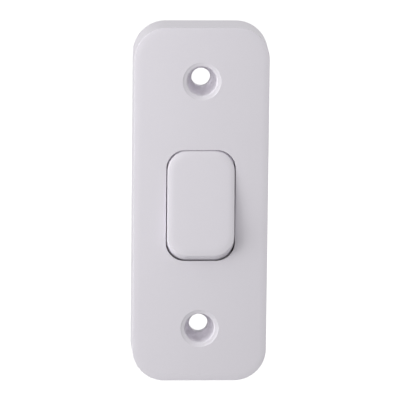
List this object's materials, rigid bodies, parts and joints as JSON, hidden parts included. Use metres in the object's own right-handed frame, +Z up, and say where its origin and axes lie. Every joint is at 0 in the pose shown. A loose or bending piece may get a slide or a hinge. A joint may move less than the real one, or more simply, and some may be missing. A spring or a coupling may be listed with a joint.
{
  "type": "rocker wall switch",
  "caption": "Narrow architrave wall switch with one white rocker, a moulded plate with two recessed fixing holes, and a toggle contact mechanism behind it",
  "frame": {"origin": "middle of the plate's rear plane, the plane of the wall, midway between the two fixing holes", "axes": "+Z up along the long side, +Y into the wall, +X to the right as seen from the front; the front faces -Y"},
  "size_m": [0.0322, 0.0274, 0.0864],
  "materials": {
    "white_plastic": "satin moulded thermoset, cool white",
    "base_plastic": "dull moulded",
    "acetal": "smooth natural acetal",
    "brass": "machined",
    "copper": "rolled and pressed copper",
    "silver": "silver-faced rivet",
    "plated_steel": "bright zinc plate",
    "spring_steel": "drawn wire"
  },
  "bodies": {
    "base": {"front_plate": "white_plastic", "bearing_frame": "base_plastic", "mechanism_housing": "base_plastic", "common_strap": "copper", "line1_contact_strip": "copper", "line2_contact_strip": "copper", "line1_fixed_contact": "silver", "line2_fixed_contact": "silver", "common_terminal": "brass", "line1_terminal": "brass", "line2_terminal": "brass", "upper_housing_screw": "plated_steel", "lower_housing_screw": "plated_steel"},
    "rocker": {"rocker_cap": "white_plastic", "plunger_spring": "spring_steel"},
    "plunger_pin": {"plunger": "acetal"},
    "beam": {"contact_beam": "copper", "upper_moving_contact": "silver", "lower_moving_contact": "silver"},
    "common_screw": {"common_terminal_screw": "plated_steel"},
    "line1_screw": {"line1_terminal_screw": "plated_steel"},
    "line2_screw": {"line2_terminal_screw": "plated_steel"}
  },
  "joints": [
    {"name": "rocker_tilt", "type": "hinge", "parent": "base", "child": "rocker", "pos_m": [0, -0.0034, 0], "axis": [1, 0, 0], "range_deg": [0, 12]},
    {"name": "beam_tilt", "type": "hinge", "parent": "base", "child": "beam", "pos_m": [0, 0.0073, 0], "axis": [1, 0, 0], "range_deg": [-14, 0]},
    {"name": "plunger_slide", "type": "slide", "parent": "rocker", "child": "plunger_pin", "axis": [0, -0.9945, 0.1045], "range_m": [0, 0.0008], "stiffness_N_per_m": 300, "springref_m": -0.002, "deforming": ["plunger_spring"]},
    {"name": "common_screw_drive", "type": "slide", "parent": "base", "child": "common_screw", "axis": [0, -1, 0], "range_m": [0, 0.0022]},
    {"name": "line1_screw_drive", "type": "slide", "parent": "base", "child": "line1_screw", "axis": [0, -1, 0], "range_m": [0, 0.0022]},
    {"name": "line2_screw_drive", "type": "slide", "parent": "base", "child": "line2_screw", "axis": [0, -1, 0], "range_m": [0, 0.0022]}
  ],
  "couplings": [
    {"joint": "beam_tilt", "follows": "rocker_tilt", "ratio": -1.1666}
  ]
}
